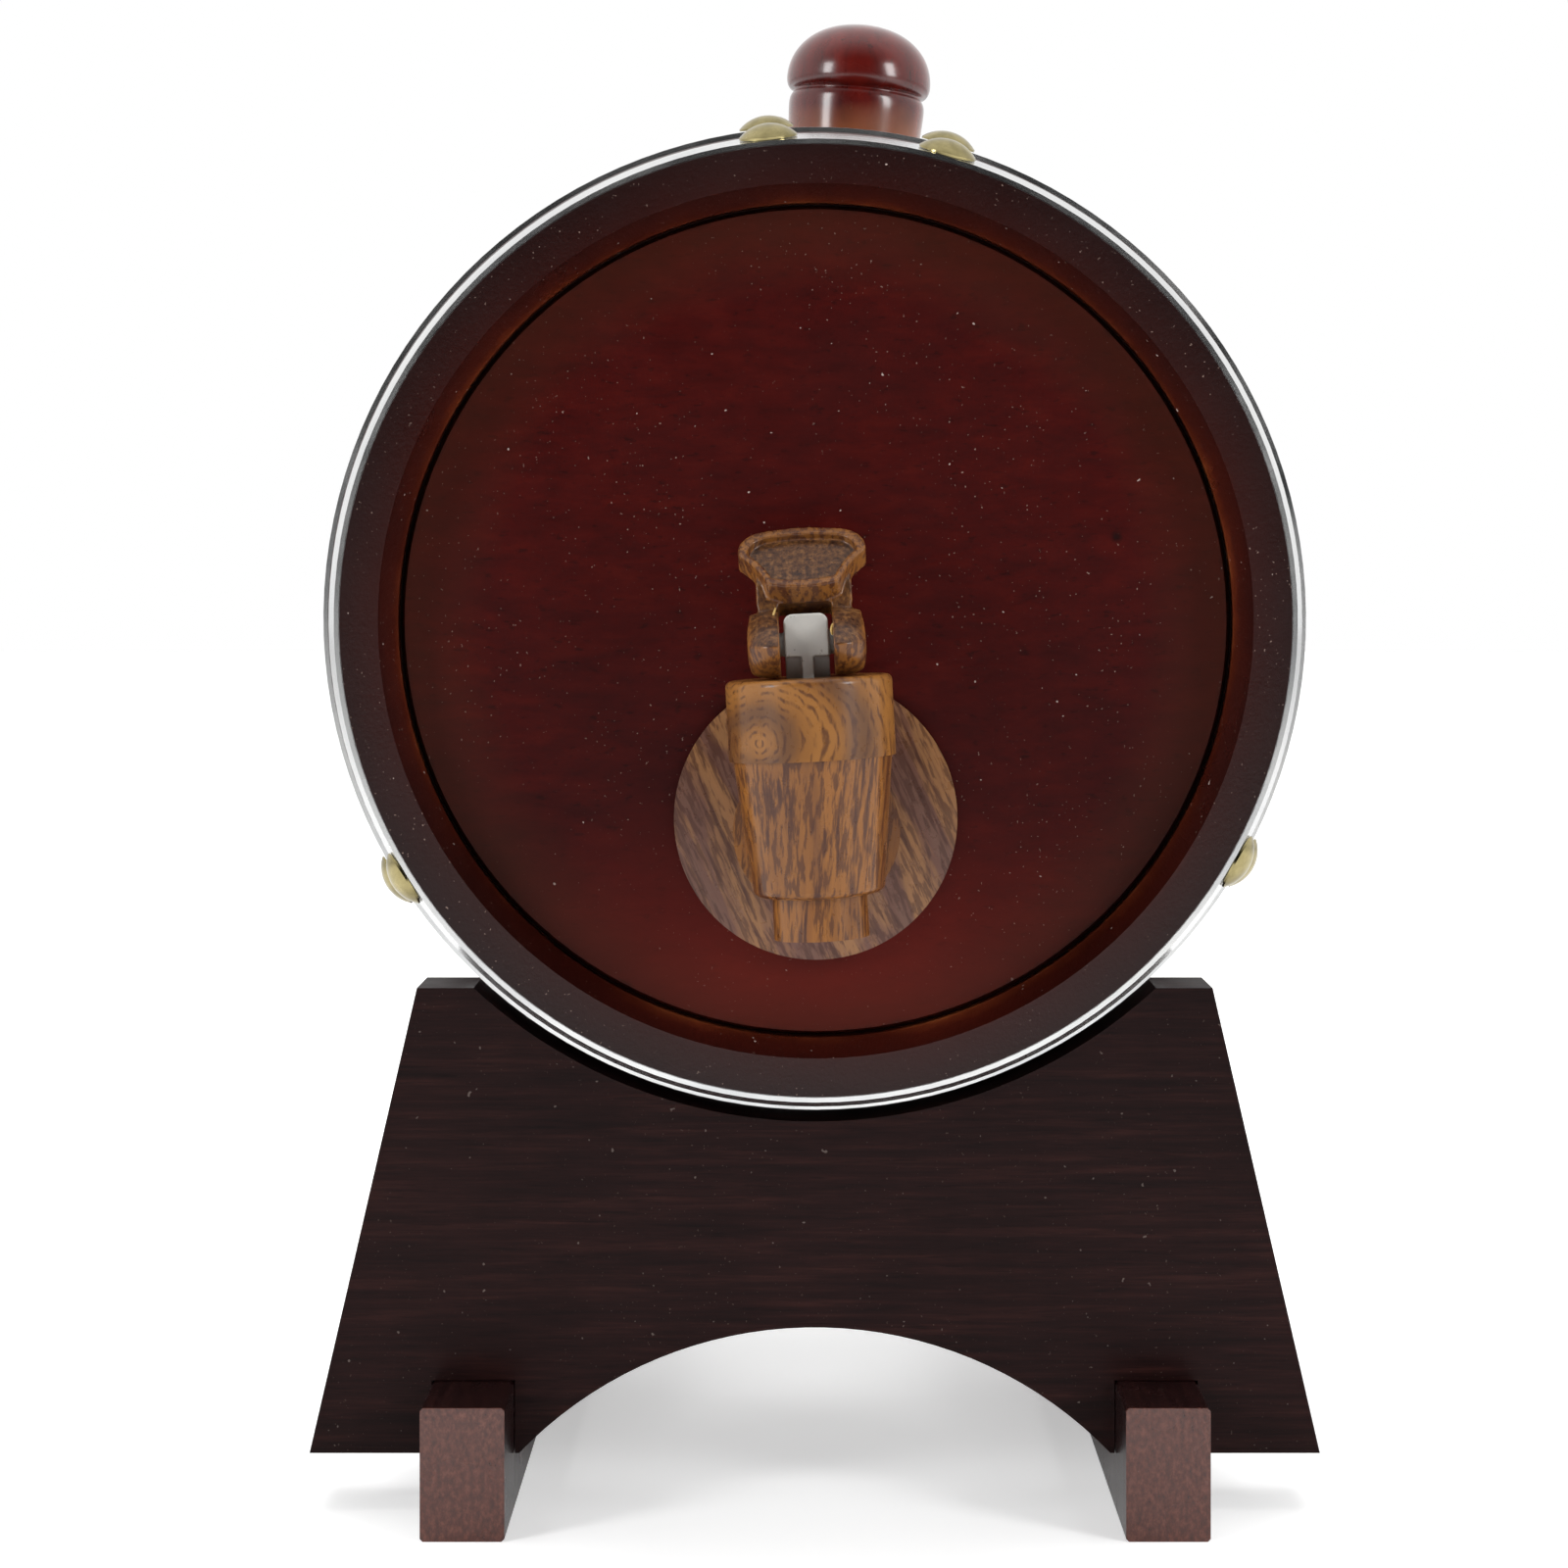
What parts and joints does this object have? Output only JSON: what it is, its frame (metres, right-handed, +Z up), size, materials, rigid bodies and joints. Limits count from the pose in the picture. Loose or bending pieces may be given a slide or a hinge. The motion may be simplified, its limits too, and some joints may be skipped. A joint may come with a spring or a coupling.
{
  "type": "oak cask liquor dispenser",
  "caption": "Small stained-wood cask on a cradle stand, with steel hoops, a turned bung and a lever tap that dispenses from the front head.",
  "frame": {"origin": "centre of the stand's footprint on the table", "axes": "+Z up, -Y towards the tap, +X to the right as seen from the tap's side"},
  "size_m": [0.148, 0.2166, 0.2217],
  "materials": {
    "stand_wood": "dark stained, glossy lacquer",
    "stave_wood": "dark red stained, lacquered",
    "head_wood": "deep red stained, lacquered",
    "bung_wood": "red stained, glossy",
    "hoop_steel": "bright rolled strip",
    "nail_brass": "polished",
    "tap_plastic": "moulded wood-grain swirl",
    "nut_plastic": "moulded",
    "stem_plastic": "translucent natural",
    "seal_silicone": "translucent matte"
  },
  "bodies": {
    "stand": {"stand_front_plate": "stand_wood", "stand_rear_plate": "stand_wood", "stand_left_rail": "stand_wood", "stand_right_rail": "stand_wood"},
    "cask": {"stave_01": "stave_wood", "stave_02": "stave_wood", "stave_03": "stave_wood", "stave_04": "stave_wood", "stave_05": "stave_wood", "stave_06": "stave_wood", "stave_07": "stave_wood", "stave_08": "stave_wood", "stave_09": "stave_wood", "stave_10": "stave_wood", "stave_11": "stave_wood", "stave_12": "stave_wood", "stave_13": "stave_wood", "stave_14": "stave_wood", "stave_15": "stave_wood", "stave_16": "stave_wood", "front_head": "head_wood", "rear_head": "head_wood", "front_chime_hoop": "hoop_steel", "front_quarter_hoop": "hoop_steel", "rear_quarter_hoop": "hoop_steel", "rear_chime_hoop": "hoop_steel", "front_chime_hoop_nails": "nail_brass", "front_quarter_hoop_nails": "nail_brass", "rear_quarter_hoop_nails": "nail_brass", "rear_chime_hoop_nails": "nail_brass", "tap_body": "tap_plastic", "tap_cap": "tap_plastic", "tap_flange": "tap_plastic", "tap_front_gasket": "seal_silicone", "tap_rear_gasket": "seal_silicone", "tap_nut": "nut_plastic"},
    "bung": {"bung": "bung_wood"},
    "stem": {"tap_stem": "stem_plastic", "tap_seat_cup": "seal_silicone"},
    "lever": {"tap_lever": "tap_plastic"}
  },
  "joints": [
    {"name": "cask_lift", "type": "slide", "parent": "stand", "child": "cask", "axis": [0, 0, 1], "range_m": [0, 0.1]},
    {"name": "bung_pull", "type": "slide", "parent": "cask", "child": "bung", "axis": [0.0854, 0, 0.9963], "range_m": [0, 0.04]},
    {"name": "stem_lift", "type": "slide", "parent": "cask", "child": "stem", "axis": [-0.0523, 0, 0.9986], "range_m": [0, 0.0031], "deforming": ["tap_seat_cup"]},
    {"name": "lever_tilt", "type": "hinge", "parent": "stem", "child": "lever", "pos_m": [-0.00123, -0.111, 0.12367], "axis": [0.9986, 0, 0.0523], "range_deg": [0, 70]}
  ],
  "couplings": [
    {"joint": "stem_lift", "follows": "lever_tilt", "m_per_rad": 0.0025}
  ]
}
